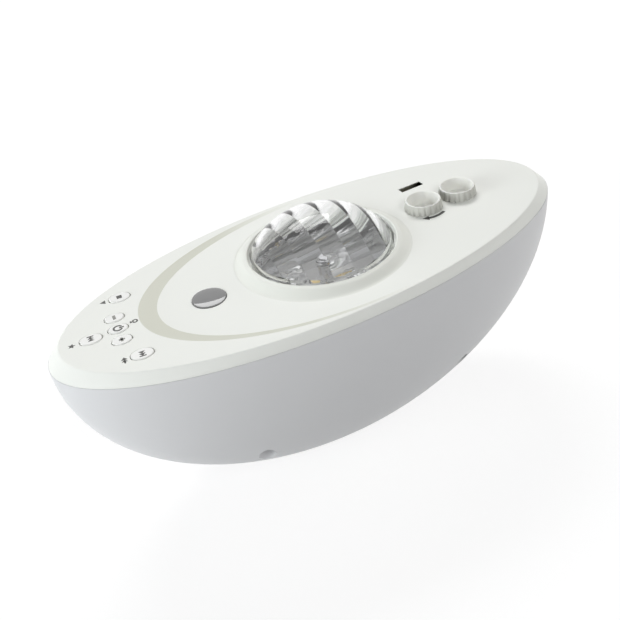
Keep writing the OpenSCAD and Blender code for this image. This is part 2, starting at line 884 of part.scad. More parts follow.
// Holder that presses the window up and grips the laser tube
module laser_holder() {
  color([0.16, 0.16, 0.17])
  difference() {
    union() {
      translate([star_x - 4, -14, holder_z - 3]) cube([8, 28, 3]);
      at_laser() translate([0, 0, holder_z - 3]) cylinder(r = 4, h = 3);
      translate([star_x, 0, holder_z - 3]) cylinder(r = 8.5, h = under_z - 1.6 - holder_z + 3);
    }
    translate([star_x, 0, holder_z - 5]) cylinder(r = 6 + eps, h = 30);
    at_laser() translate([0, 0, holder_z - 5]) cylinder(r = small_shank_r + 0.15, h = 10);
  }
}

module laser_module() {
  color([0.78, 0.65, 0.3])
  translate([star_x, 0, holder_z - 14])
  difference() {
    cylinder(r = 6, h = 18);
    translate([0, 0, 15]) cylinder(r1 = 2, r2 = 4, h = 4);
  }
}

module main_board() {
  color([0.1, 0.35, 0.2])
  difference() {
    translate([-36, -18, main_z]) cube([72, 36, board_t]);
    at_posts() translate([0, 0, main_z - 5]) cylinder(r = small_shank_r + 0.15, h = 10);
  }
}

// Chips and capacitors standing on the main board
module board_parts() {
  color([0.15, 0.15, 0.16])
  translate([0, 0, main_z + board_t]) {
    translate([-22, -8, 0]) cube([14, 14, 1.8]);
    translate([8, 2, 0]) cube([9, 9, 1.6]);
    for (x = [-3, 20]) translate([x, -10, 0]) cylinder(r = 4, h = 11);
  }
}

// Speaker basket over the sound holes, closed by its magnet
module speaker_frame() {
  color([0.2, 0.2, 0.22])
  translate([0, 0, floor_z])
  rotate_extrude() polygon([[13, 0], [speaker_r, 0], [speaker_r, 1.5], [13.6, 1.6], [9.5, 7], [9.5, 12],
    [0, 12], [0, 7], [8, 7], [8.6, 6.4], [12.4, 1.5], [13, 1.5]]);
}

// Thin cone with a dust cap, hung in the basket
module speaker_cone() {
  color([0.1, 0.1, 0.11])
  translate([0, 0, floor_z])
  rotate_extrude() polygon([[0, 3.4], [2.8, 3.6], [4, 4.6], [12.2, 0.4], [13, 0.4], [13, 1.1], [12.4, 1.1],
    [4.2, 5.4], [2.6, 4.3], [0, 4.1]]);
}

module power_inlet() {
  color([0.12, 0.12, 0.13])
  translate([inlet_x, inlet_y, inlet_z]) {
    difference() {
      union() {
        rotate([90, 0, 0]) cylinder(r = 4, h = 6);
        translate([-5.5, -15.5, -5.5]) cube([11, 10, 11]);
      }
      translate([0, 1, 0]) rotate([90, 0, 0]) cylinder(r = 2.75, h = 10);
    }
    translate([0, -1.5, 0]) rotate([90, 0, 0]) cylinder(r = 1, h = 9);
  }
}

module rubber_feet() {
  color([0.25, 0.25, 0.26])
  at_feet() cylinder(r = foot_r, h = foot_lift + 0.8);
}

// Alike short screws: key board, lens carrier, lamp board, port board, bracket, laser holder, main board
module small_screws() {
  color([0.7, 0.7, 0.72]) {
    at_key_bosses() translate([0, 0, key_board_z - board_t]) small_screw();
    at_carrier() translate([0, 0, carrier_z]) small_screw();
    at_columns() translate([0, 0, lamp_z - board_t]) small_screw();
    at_port() translate([0, 0, port_board_z - board_t]) small_screw();
    at_bracket() translate([0, 0, bracket_z - 1.5]) small_screw();
    at_laser() translate([0, 0, holder_z - 3]) small_screw();
    at_posts() translate([0, 0, main_z + board_t]) rotate([180, 0, 0]) small_screw();
  }
}

module case_screws() {
  color([0.7, 0.7, 0.72])
  at_case() translate([0, 0, post_z - 3]) screw(case_shank_r, 8.5, 2.9, 2);
}

lower_shell();
top_cover();
dome_bezel();
dome_lens();
star_window();
rear_key();
front_key();
end_key();
small_rear_key();
power_key();
small_front_key();
rear_plunger();
front_plunger();
end_plunger();
small_rear_plunger();
power_plunger();
small_front_plunger();
switch_bodies();
key_board();
inner_focus_ring();
outer_focus_ring();
inner_ring_clip();
outer_ring_clip();
inner_lens_barrel();
outer_lens_barrel();
inner_focus_lens();
outer_focus_lens();
lens_carrier();
lamp_board();
slide_lamps();
lamp_tubes();
slide_films();
port_socket();
port_board();
light_frame();
heat_sink();
frame_screws();
led_board();
color_leds();
led_lenses();
wheel_axle();
ripple_wheel();
wheel_clip();
drive_pinion();
motor_shaft();
drive_motor();
motor_bracket();
laser_holder();
laser_module();
main_board();
board_parts();
speaker_frame();
speaker_cone();
power_inlet();
rubber_feet();
small_screws();
case_screws();
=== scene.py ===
import json
from math import cos, pi, radians, sin

import bmesh
import bpy
from mathutils import Matrix, Vector


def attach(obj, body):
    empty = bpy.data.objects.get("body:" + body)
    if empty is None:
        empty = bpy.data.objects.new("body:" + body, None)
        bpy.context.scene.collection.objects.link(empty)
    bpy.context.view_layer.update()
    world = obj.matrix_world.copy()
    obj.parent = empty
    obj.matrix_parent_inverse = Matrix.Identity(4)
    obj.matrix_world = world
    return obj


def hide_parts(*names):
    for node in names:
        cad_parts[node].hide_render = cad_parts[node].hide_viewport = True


# Aurora projector: the looks of the boat-shaped table light, built around its solids.
# Shapes are drawn in millimetres and shrunk to metres when a piece is finished.
# Finishes, lamps and the camera are in metres.

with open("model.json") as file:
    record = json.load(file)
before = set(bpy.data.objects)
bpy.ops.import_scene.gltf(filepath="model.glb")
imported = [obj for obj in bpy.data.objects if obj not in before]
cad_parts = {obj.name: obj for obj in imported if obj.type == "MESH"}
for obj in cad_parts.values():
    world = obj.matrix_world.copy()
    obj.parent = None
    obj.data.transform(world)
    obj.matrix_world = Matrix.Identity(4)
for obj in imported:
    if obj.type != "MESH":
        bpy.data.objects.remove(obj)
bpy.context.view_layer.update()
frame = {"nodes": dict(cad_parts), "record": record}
nodes = frame["nodes"]
scene = bpy.context.scene

MM = 0.001
CRISP = 35
QUARTER = (0, 22, 45, 67, 90)

# Body
HALF_LEN = 124.0
HALF_WID = 52.4
RIM_Z = 86.3
TOP_Z = 92.0
UNDER_Z = 88.0
CREST_IN_X = 5.8
CREST_IN_Y = 0.2
RIM_ROUND = 0.35
CREST_ROUND = 0.5
LIP_IN = 2.75
LIP_WALL = 1.8
LIP_DROP = 4.0
COVER_STEPS = 288
# Deck: its wall runs from an edge oval to a foot oval, each given by its key end and its half width
DECK_DROP = 1.7
DECK_END = 100.0
DECK_RUN_OUT = 25.0
DECK_FOOT = (-74.5, 48.7)
DECK_EDGE = (-82.8, 50.5)
DECK_Y = -0.7
DECK_SEAM = 0.001
# Dome and bezel
DOME_X = 3.8
DOME_R = 32.2
SEAT_Z = TOP_Z - DECK_DROP
SEAT_R = 40.05
BEZEL_R = 40.0
BEZEL_CREST_R = 34.4
BEZEL_BORE = 33.2
BEZEL_FOOT_Z = SEAT_Z + 0.75
BEZEL_SWELL = 3.75
BEZEL_TOP_Z = SEAT_Z + 4.7
LEDGE_R = 36.7
LEDGE_Z = SEAT_Z + 2.02
# Keys: places from the middle one, and half sizes
KEY_TURN = -8.4
KEY_MIDDLE = (-92.2, 2.7)
LARGE_KEY = (4.65, 3.5)
SMALL_KEY = (4.15, 3.1)
KEYS = {
    "rear": ((5.0, 23.9), LARGE_KEY),
    "front": ((5.6, -23.0), LARGE_KEY),
    "end": ((-11.7, -1.5), LARGE_KEY),
    "small_rear": ((0.0, 8.9), SMALL_KEY),
    "power": ((0.0, 0.0), SMALL_KEY),
    "small_front": ((0.0, -8.9), SMALL_KEY),
}
KEY_TOP = 92.3
KEY_ROUND = 0.3
KEY_FLANGE = UNDER_Z - 0.25
KEY_FLANGE_H = 1
KEY_FLANGE_OUT = 0.75
KEY_STEM = 85.5
KEY_STEM_R = 1.6
# Focus rings: heights are taken from the foot of the head
RINGS = {"inner": 58.3, "outer": 77.5}
RING_Z = 92.03
RING_FOOT = 79.5 - RING_Z
FLUTES = 20
FLUTE_DEPTH = 0.085
FLUTE_FADE = 0.015
FLUTED_R = 8.0
# Painted shade: faces of a ring head outside this radius and below this height take a darker copy of the ring
# white.
SHADED_WALL_R = 7.95
SHADED_WALL_TOP = 4.4
# Star window
STAR_X = -52.0
STAR_R = 7.5
STAR_FLANGE_H = 1.6
STAR_FLANGE_OUT = 1.5
STAR_WALL_Z = TOP_Z - 1.15
STAR_CROWN_Z = TOP_Z - 1.05
STAR_CROWN = 0.55
# Openings in the cover: the gaps around what stands in them, and the steps of their rounded edges,
# each a rise and a growth
KEY_GAP = 0.55
STAR_GAP = 0.3
RING_HOLE_R = 6.8
OPENING_ROUND = ((-0.06, -0.1), (-0.14, -0.06))
PORT = (65.6, 21.4, 12.2, 4.0)
PORT_LIP = -0.3
PORT_FLARE = (1.1, 1.3, 1)
# Print and stage
INK = 0.03
FLOOR_HALF = 4000
FLOOR_Z = -0.2
FLOOR_GLOW = 0.82
AIM = (0, 0, 0.06)


def deck_height(x):
    """The deck sinks towards the keys and is level under the rings."""
    return TOP_Z - DECK_DROP * max(0.0, DECK_RUN_OUT - x) / (DECK_RUN_OUT - DECK_FOOT[0])


# Shaping

def edges_at(verts):
    return list(dict.fromkeys(e for v in verts for e in v.link_edges))


def place_flat(bm, verts, x, y, w, h, turn=0):
    bmesh.ops.rotate(bm, verts=verts, cent=(0, 0, 0), matrix=Matrix.Rotation(radians(turn), 3, "Z"))
    bmesh.ops.scale(bm, vec=(w, h, 1), verts=verts)
    bmesh.ops.translate(bm, vec=(x, y, 0), verts=verts)


def square(bm):
    """Corners of a flat square with sides of one."""
    return bmesh.ops.create_grid(bm, x_segments=1, y_segments=1, size=0.5)["verts"]


def loop(bm, rx, ry, z=0.0, x=0.0, y=0.0, turn=0.0, steps=96):
    """Edges of an oval at a height, or lying on the deck where z is None."""
    place = (Matrix.Translation((x, y, 0)) @ Matrix.Rotation(radians(turn), 4, "Z")
             @ Matrix.Diagonal((rx, ry, 1, 1)))
    verts = bmesh.ops.create_circle(bm, segments=steps, radius=1, matrix=place)["verts"]
    for v in verts:
        v.co.z = deck_height(v.co.x) if z is None else z
    return edges_at(verts)


def slot_loop(bm, x, y, length, width):
    """Edges of a straight slot, lying on the deck."""
    verts = square(bm)
    place_flat(bm, verts, x, y, length, width)
    bmesh.ops.delete(bm, geom=verts[0].link_faces[:], context="FACES_ONLY")
    for v in verts:
        v.co.z = deck_height(v.co.x)
    return edges_at(verts)


def pull(bm, edges):
    """Walls from a loop to a copy of it; gives the copy's corners and edges."""
    made = bmesh.ops.extrude_edge_only(bm, edges=edges)["geom"]
    return ([g for g in made if isinstance(g, bmesh.types.BMVert)],
            [g for g in made if isinstance(g, bmesh.types.BMEdge)])


def drop(bm, edges, to=None, by=0.0, grow=0.0):
    """Walls from a loop to a height, or by a height, moved out by grow; gives the new loop."""
    verts, edges = pull(bm, edges)
    middle = sum((v.co for v in verts), Vector()) / len(verts)
    for v in verts:
        v.co += Vector((v.co.x - middle.x, v.co.y - middle.y, 0)).normalized() * grow
        v.co.z = v.co.z + by if to is None else to
    return edges


def tower(bm, ovals, steps):
    """Walls through a pile of ovals given by half sizes and height; gives the first and the last loop."""
    first = edges = loop(bm, *ovals[0], steps=steps)
    for was, now in zip(ovals, ovals[1:]):
        verts, edges = pull(bm, edges)
        bmesh.ops.scale(bm, vec=(now[0] / was[0], now[1] / was[1], 1), verts=verts)
        bmesh.ops.translate(bm, vec=(0, 0, now[2] - was[2]), verts=verts)
    return first, edges


def sheet(bm, outer, holes):
    """Flat sheet inside one loop, with the holes left open."""
    made = bmesh.ops.triangle_fill(bm, edges=outer + sum(holes, []), use_beauty=True)["geom"]
    rims = [{v for e in hole for v in e.verts} for hole in holes]
    faces = [f for f in made if isinstance(f, bmesh.types.BMFace)]
    plugs = [f for f in faces if any(rim.issuperset(f.verts) for rim in rims)]
    bmesh.ops.delete(bm, geom=plugs, context="FACES")


def lathe(profile, steps, ring=False):
    """Solid of revolution about Z from (radius, height) points; a ring's profile is closed."""
    bm = bmesh.new()
    verts = [bm.verts.new((r, 0, z)) for r, z in profile]
    pairs = list(zip(verts, verts[1:])) + ([(verts[-1], verts[0])] if ring else [])
    edges = [bm.edges.new(p) for p in pairs]
    bmesh.ops.spin(bm, geom=verts + edges, cent=(0, 0, 0), axis=(0, 0, 1), angle=2 * pi,
                   steps=steps, use_merge=True)
    bmesh.ops.remove_doubles(bm, verts=bm.verts, dist=1e-4)
    bmesh.ops.recalc_face_normals(bm, faces=bm.faces)
    return bm


def to_object(bm, name):
    bmesh.ops.scale(bm, vec=(MM, MM, MM), verts=bm.verts)
    mesh = bpy.data.meshes.new(name)
    bm.to_mesh(mesh)
    bm.free()
    made = bpy.data.objects.new(name, mesh)
    scene.collection.objects.link(made)
    return made


def finish(bm, name, body, slot, *stands_for, looks=(), move=(0, 0, 0), lines=()):
    """Turns a shape into a piece that rides on a body, in its slot's finish or in the looks given."""
    for e in bm.edges:
        e.smooth = not (e.is_manifold and e.calc_face_angle(0) > radians(CRISP))
    for e in lines:
        e.smooth = False
    for f in bm.faces:
        f.smooth = True
    bmesh.ops.translate(bm, vec=move, verts=bm.verts)
    piece = to_object(bm, name)
    for look in looks or (slot,):
        piece.data.materials.append(FINISHES[look])
    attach(piece, body)
    if stands_for:
        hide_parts(*stands_for)


# Finishes

def new_pattern(name, *more):
    """Node group that makes colour, roughness and height from two colours and two gloss levels."""
    tree = bpy.data.node_groups.new(name, "ShaderNodeTree")
    takes = [("Colour", "Color"), ("Shade", "Color"), ("Gloss low", "Float"), ("Gloss high", "Float"), *more]
    gives = [("Colour", "Color"), ("Roughness", "Float"), ("Height", "Float")]
    for way, sockets in (("INPUT", takes), ("OUTPUT", gives)):
        for label, kind in sockets:
            tree.interface.new_socket(name=label, in_out=way, socket_type="NodeSocket" + kind)
    return tree, tree.nodes.new("NodeGroupInput"), tree.nodes.new("NodeGroupOutput")


def noise(tree, detail, scale=1.0):
    made = tree.nodes.new("ShaderNodeTexNoise")
    made.inputs["Scale"].default_value = scale
    made.inputs["Detail"].default_value = detail
    return made


def join_pattern(tree, given, put, broad, fine):
    """The broad noise mixes the two colours, and the fine one sets roughness and height."""
    n, link = tree.nodes, tree.links.new
    tone = n.new("ShaderNodeMix")
    tone.data_type = "RGBA"
    link(broad.outputs["Fac"], tone.inputs["Factor"])
    link(given.outputs["Shade"], tone.inputs["A"])
    link(given.outputs["Colour"], tone.inputs["B"])
    gloss = n.new("ShaderNodeMapRange")
    link(fine.outputs["Fac"], gloss.inputs["Value"])
    link(given.outputs["Gloss low"], gloss.inputs["To Min"])
    link(given.outputs["Gloss high"], gloss.inputs["To Max"])
    link(tone.outputs["Result"], put.inputs["Colour"])
    link(gloss.outputs["Result"], put.inputs["Roughness"])
    link(fine.outputs["Fac"], put.inputs["Height"])
    return tree


def moulded_group():
    """Fine moulded grain: mottled colour, uneven gloss and a low bump."""
    tree, given, put = new_pattern("moulded grain", ("Grain size", "Float"))
    link = tree.links.new
    place = tree.nodes.new("ShaderNodeTexCoord")
    broad = noise(tree, 4, 38)
    grain = noise(tree, 2)
    link(place.outputs["Object"], broad.inputs["Vector"])
    link(place.outputs["Object"], grain.inputs["Vector"])
    link(given.outputs["Grain size"], grain.inputs["Scale"])
    return join_pattern(tree, given, put, broad, grain)


def drawn_group():
    """Lines drawn along one direction, as on rolled or turned metal."""
    tree, given, put = new_pattern("drawn lines")
    link = tree.links.new
    place = tree.nodes.new("ShaderNodeTexCoord")
    along = tree.nodes.new("ShaderNodeMapping")
    along.inputs["Scale"].default_value = (200, 4000, 4000)
    lines = noise(tree, 3)
    link(place.outputs["Object"], along.inputs["Vector"])
    link(along.outputs["Vector"], lines.inputs["Vector"])
    return join_pattern(tree, given, put, lines, lines)


MOULDED = moulded_group()
DRAWN = drawn_group()


def blank(name, **plain):
    """Material with a principled shader and its plain values."""
    made = bpy.data.materials.new(name)
    made.use_nodes = True
    shader = made.node_tree.nodes["Principled BSDF"]
    for socket, value in plain.items():
        shader.inputs[socket.replace("_", " ")].default_value = value
    return made, made.node_tree.nodes, made.node_tree.links.new, shader


def rgb(*c):
    return (*c, 1.0)


def patterned(name, tree, values, bump, plain):
    made, n, link, shader = blank(name, **plain)
    pattern = n.new("ShaderNodeGroup")
    pattern.node_tree = tree
    for socket, value in values.items():
        pattern.inputs[socket].default_value = value
    link(pattern.outputs["Colour"], shader.inputs["Base Color"])
    link(pattern.outputs["Roughness"], shader.inputs["Roughness"])
    relief = n.new("ShaderNodeBump")
    relief.inputs["Strength"].default_value = bump
    relief.inputs["Distance"].default_value = 0.0001
    link(pattern.outputs["Height"], relief.inputs["Height"])
    link(relief.outputs["Normal"], shader.inputs["Normal"])
    return made


def plastic(name, colour, shade, low, high, bump=0.05, size=3000.0, **plain):
    return patterned(name, MOULDED, {"Colour": rgb(*colour), "Shade": rgb(*shade), "Gloss low": low,
                                     "Gloss high": high, "Grain size": size}, bump, plain)


def metal(name, colour, shade, low, high, bump=0.05):
    return patterned(name, DRAWN, {"Colour": rgb(*colour), "Shade": rgb(*shade), "Gloss low": low,
                                   "Gloss high": high}, bump, {"Metallic": 1.0})


def clear(name, colour, shade, index):
    """Clear plastic or glass that also lets the lamps shine through to what lies behind it."""
    made = plastic(name, colour, shade, 0.0, 0.03, 0.01, 300.0, Transmission_Weight=1.0, IOR=index)
    n, link = made.node_tree.nodes, made.node_tree.links.new
    path = n.new("ShaderNodeLightPath")
    falls = n.new("ShaderNodeMath")
    falls.operation = "MAXIMUM"
    link(path.outputs["Is Shadow Ray"], falls.inputs[0])
    link(path.outputs["Is Diffuse Ray"], falls.inputs[1])
    through = n.new("ShaderNodeBsdfTransparent")
    mix = n.new("ShaderNodeMixShader")
    link(falls.outputs[0], mix.inputs[0])
    link(n["Principled BSDF"].outputs[0], mix.inputs[1])
    link(through.outputs[0], mix.inputs[2])
    link(mix.outputs[0], n["Material Output"].inputs["Surface"])
    return made


def fade(made, colour, start, end):
    """Lets a material's colour run out along the body into another one."""
    n, link = made.node_tree.nodes, made.node_tree.links.new
    place = n.new("ShaderNodeTexCoord")
    split = n.new("ShaderNodeSeparateXYZ")
    ramp = n.new("ShaderNodeMapRange")
    ramp.inputs["From Min"].default_value = start
    ramp.inputs["From Max"].default_value = end
    mix = n.new("ShaderNodeMix")
    mix.data_type = "RGBA"
    mix.inputs["B"].default_value = rgb(*colour)
    paint = n["Principled BSDF"].inputs["Base Color"]
    link(place.outputs["Object"], split.inputs[0])
    link(split.outputs["X"], ramp.inputs["Value"])
    link(ramp.outputs["Result"], mix.inputs["Factor"])
    link(paint.links[0].from_socket, mix.inputs["A"])
    link(mix.outputs["Result"], paint)


# Each finish: two colours that its noise mixes, lowest and highest roughness, bump, grain size
COVER_COLOUR = (0.86, 0.87, 0.83)
FINISHES = {
    # Painted shade: the hull is the same white plastic as the cover, given a darker white so that its sides
    # come out shaded.
    "hull_white": plastic("hull white with painted shade", (0.675, 0.678, 0.688), (0.655, 0.658, 0.668), 0.34, 0.42, 0.03,
                          Specular_IOR_Level=0.4),
    "cover_white": plastic("cover white", COVER_COLOUR, (0.845, 0.855, 0.815), 0.38, 0.46, 0.03,
                           Specular_IOR_Level=0.35),
    "bezel_white": plastic("bezel white", (0.8, 0.81, 0.76), (0.785, 0.795, 0.745), 0.38, 0.46, 0.03,
                           Specular_IOR_Level=0.35),
    "deck_warm": plastic("deck wall", (0.69, 0.695, 0.61), (0.675, 0.68, 0.595), 0.4, 0.5, 0.03,
                         Specular_IOR_Level=0.35),
    "key_white": plastic("key white", (0.87, 0.87, 0.85), (0.85, 0.85, 0.83), 0.28, 0.36, 0.02),
    "ring_white": plastic("ring white", (0.86, 0.86, 0.82), (0.83, 0.83, 0.79), 0.3, 0.38, 0.02,
                          Subsurface_Weight=0.3, Subsurface_Radius=(0.002, 0.002, 0.0018)),
    # A darker copy of the ring white: painted shade on the fluted walls of the rings.
    "ring_wall_shade": plastic("ring wall painted shade", (0.59, 0.59, 0.55), (0.55, 0.55, 0.51), 0.36, 0.46, 0.04),
    "mark_grey": plastic("printed grey", (0.08, 0.08, 0.075), (0.06, 0.06, 0.055), 0.5, 0.6),
    "mark_pale": plastic("printed pale grey", (0.3, 0.3, 0.28), (0.25, 0.25, 0.23), 0.5, 0.6),
    "dome_clear": clear("dome clear", (1, 1, 1), (0.98, 0.985, 0.99), 1.49),
    "lens_clear": clear("lens clear", (1, 1, 1), (0.97, 0.98, 0.98), 1.49),
    "focus_glass": clear("focus glass", (0.97, 0.99, 1), (0.95, 0.97, 0.98), 1.52),
    "window_dark": plastic("smoked window", (0.2, 0.2, 0.2), (0.17, 0.17, 0.17), 0.03, 0.07, 0.01, 400.0,
                           Coat_Weight=0.6),
    "black_plastic": plastic("black plastic", (0.035, 0.035, 0.037), (0.02, 0.02, 0.022), 0.4, 0.55, 0.2),
    "cone_paper": plastic("speaker paper", (0.03, 0.03, 0.03), (0.015, 0.015, 0.015), 0.7, 0.9, 0.5, 900.0),
    "board_green": plastic("green board", (0.02, 0.16, 0.07), (0.01, 0.1, 0.04), 0.25, 0.4, 0.1, 700.0),
    "board_white": plastic("white board", (0.5, 0.5, 0.49), (0.44, 0.44, 0.43), 0.3, 0.4, 0.1, 700.0),
    "lamp_yellow": plastic("lamp yellow", (0.85, 0.62, 0.12), (0.75, 0.5, 0.08), 0.15, 0.3, 0.1),
    "picture_film": plastic("picture film", (0.1, 0.16, 0.45), (0.04, 0.07, 0.25), 0.1, 0.2, 0.02, 500.0),
    "reflector_silver": metal("reflector silver", (0.66, 0.66, 0.67), (0.56, 0.56, 0.57), 0.04, 0.09, 0.02),
    "steel": metal("bright steel", (0.66, 0.66, 0.67), (0.5, 0.5, 0.52), 0.2, 0.38),
    "sink_metal": metal("sink aluminium", (0.76, 0.77, 0.78), (0.62, 0.63, 0.65), 0.3, 0.5),
    "gear_plastic": plastic("gear plastic", (0.8, 0.79, 0.74), (0.74, 0.73, 0.68), 0.35, 0.5),
    "laser_brass": metal("turned brass", (0.72, 0.5, 0.2), (0.55, 0.36, 0.12), 0.2, 0.35),
    "port_metal_shaded_end": metal("port metal with painted shadow", (0.62, 0.6, 0.52), (0.45, 0.43, 0.36), 0.35, 0.55),
    "foot_rubber": plastic("foot rubber", (0.05, 0.05, 0.05), (0.03, 0.03, 0.03), 0.7, 0.85, 0.4, 1500.0),
}
fade(FINISHES["deck_warm"], COVER_COLOUR, -0.03, 0.02)
# Painted shadow: the port metal turns near black towards the socket's end at larger X, where the slot lies in
# shade.
fade(FINISHES["port_metal_shaded_end"], (0.01, 0.01, 0.01), 0.066, 0.071)

for part in frame["record"]["subparts"]:
    solid = nodes[part["node"]]
    solid.data.materials.clear()
    solid.data.materials.append(FINISHES[part["material_slot"]])
nodes["port_socket"].data.materials[0] = FINISHES["port_metal_shaded_end"]


# Cover: sloped rim, flat panel, sunk deck and the holes for everything that stands in it

def key_place(at):
    c, s = cos(radians(KEY_TURN)), sin(radians(KEY_TURN))
    return KEY_MIDDLE[0] + c * at[0] - s * at[1], KEY_MIDDLE[1] + s * at[0] + c * at[1]


def rim_oval(z, inset):
    up = (z - RIM_Z) / (TOP_Z - RIM_Z)
    return HALF_LEN - CREST_IN_X * up - inset, HALF_WID - CREST_IN_Y * up - inset, z


def cover_skirt():
    """Ovals from the inside of the lip, under the rim and up to the crest."""
    lip_in, lip_z = LIP_IN + LIP_WALL, RIM_Z - LIP_DROP
    lip = [(HALF_LEN - inset, HALF_WID - inset, z)
           for inset, z in ((lip_in, UNDER_Z), (lip_in, lip_z), (LIP_IN, lip_z), (LIP_IN, RIM_Z))]
    low = [rim_oval(RIM_Z + RIM_ROUND * (1 - cos(radians(a))), RIM_ROUND * (1 - sin(radians(a))))
           for a in (0, 30, 60, 90)]
    high = [rim_oval(TOP_Z - CREST_ROUND + CREST_ROUND * sin(radians(a)),
                     CREST_ROUND - CREST_ROUND * cos(radians(a))) for a in QUARTER]
    return lip + low + high


def deck_wall(bm):
    """Wall around the sunk deck; gives the loops along its edge and its foot."""
    edge_x, edge_half = (DECK_END + DECK_EDGE[0]) / 2, (DECK_END - DECK_EDGE[0]) / 2
    edge = loop(bm, edge_half, DECK_EDGE[1], TOP_Z, edge_x, DECK_Y, steps=COVER_STEPS)
    verts, foot = pull(bm, edge)
    shrink = ((DECK_END - DECK_FOOT[0]) / 2 / edge_half, DECK_FOOT[1] / DECK_EDGE[1], 1)
    bmesh.ops.scale(bm, vec=shrink, verts=verts, space=Matrix.Translation((-DECK_END, -DECK_Y, 0)))
    for v in verts:
        v.co.z = deck_height(v.co.x) - DECK_SEAM
    for e in foot:
        e.link_faces[0].material_index = 1
    return edge, foot


def cover():
    bm = bmesh.new()
    inside, crest = tower(bm, cover_skirt(), COVER_STEPS)
    edge, foot = deck_wall(bm)
    on_panel, on_deck, below = [], [], []
    for at, (rx, ry) in KEYS.values():
        on_panel.append(loop(bm, rx + KEY_GAP, ry + KEY_GAP, TOP_Z, *key_place(at), KEY_TURN, 64))
    seat = loop(bm, SEAT_R, SEAT_R, None, DOME_X, steps=192)
    on_deck.append(loop(bm, STAR_R + STAR_GAP, STAR_R + STAR_GAP, None, STAR_X))
    for x in RINGS.values():
        on_deck.append(loop(bm, RING_HOLE_R, RING_HOLE_R, None, x))
    port = slot_loop(bm, *PORT)
    lines = [*edge, *foot, *crest, *seat, *port]
    sheet(bm, crest, [edge, *on_panel])
    sheet(bm, foot, [seat, port, *on_deck])
    for rim in on_panel + on_deck:
        lines += rim
        for rise, growth in OPENING_ROUND:
            rim = drop(bm, rim, by=rise, grow=growth)
        below.append(drop(bm, rim, to=UNDER_Z))
    verts, wide = pull(bm, drop(bm, port, by=PORT_LIP))
    bmesh.ops.scale(bm, vec=PORT_FLARE, verts=verts, space=Matrix.Translation((-PORT[0], -PORT[1], 0)))
    below.append(drop(bm, wide, to=UNDER_Z))
    step = drop(bm, drop(bm, seat, to=SEAT_Z), to=SEAT_Z, grow=DOME_R - SEAT_R)
    below.append(drop(bm, step, to=UNDER_Z))
    sheet(bm, inside, below)
    bmesh.ops.recalc_face_normals(bm, faces=bm.faces)
    finish(bm, "cover", "housing", "cover_white", "top_cover", looks=("cover_white", "deck_warm"), lines=lines)


cover()


# Bezel: a low ring that swells out of the deck and turns in at the dome

def bezel():
    steps = 12
    rise = [(BEZEL_R - (BEZEL_R - BEZEL_CREST_R) * t / steps,
             BEZEL_FOOT_Z + BEZEL_SWELL * (1 - cos(pi * t / steps)) / 2) for t in range(steps + 1)]
    turn_in = [(34.0, BEZEL_TOP_Z), (33.45, BEZEL_TOP_Z - 0.12), (BEZEL_BORE, BEZEL_TOP_Z - 0.5)]
    profile = [(LEDGE_R, SEAT_Z), (BEZEL_R, SEAT_Z), *rise, *turn_in, (BEZEL_BORE, LEDGE_Z), (LEDGE_R, LEDGE_Z)]
    bm = lathe(profile, 192, ring=True)
    for v in bm.verts:
        if v.co.xy.length > BEZEL_CREST_R - 0.2 and v.co.z > BEZEL_FOOT_Z - 0.05:
            up = (v.co.z - BEZEL_FOOT_Z) / BEZEL_SWELL
            v.co.z += (1 - up) * (deck_height(v.co.x + DOME_X) - BEZEL_FOOT_Z)
    finish(bm, "bezel", "housing", "cover_white", "dome_bezel", looks=("bezel_white",), move=(DOME_X, 0, 0))


bezel()


# Keys: oval caps with rounded tops on hidden flanges

def key_cap(name, at, half):
    bm = bmesh.new()
    rx, ry = half
    flange_x, flange_y, flange_z = rx + KEY_FLANGE_OUT, ry + KEY_FLANGE_OUT, KEY_FLANGE - KEY_FLANGE_H
    stem = [(KEY_STEM_R, KEY_STEM_R, KEY_STEM), (KEY_STEM_R, KEY_STEM_R, flange_z)]
    flange = [(flange_x, flange_y, flange_z), (flange_x, flange_y, KEY_FLANGE), (rx, ry, KEY_FLANGE)]
    top = [(rx - KEY_ROUND * (1 - cos(radians(a))), ry - KEY_ROUND * (1 - cos(radians(a))),
            KEY_TOP - KEY_ROUND + KEY_ROUND * sin(radians(a))) for a in QUARTER]
    foot, crest = tower(bm, stem + flange + top, 72)
    bmesh.ops.edgeloop_fill(bm, edges=foot)
    bmesh.ops.edgeloop_fill(bm, edges=crest)
    bmesh.ops.recalc_face_normals(bm, faces=bm.faces)
    bmesh.ops.rotate(bm, verts=bm.verts, cent=(0, 0, 0), matrix=Matrix.Rotation(radians(KEY_TURN), 3, "Z"))
    finish(bm, name + "_cap", name + "_key_body", "key_white", name + "_key",
           move=(*key_place(at), 0), lines=crest)


for name, (at, half) in KEYS.items():
    key_cap(name, at, half)


# Focus rings: fluted heads with wide mouths on long necks

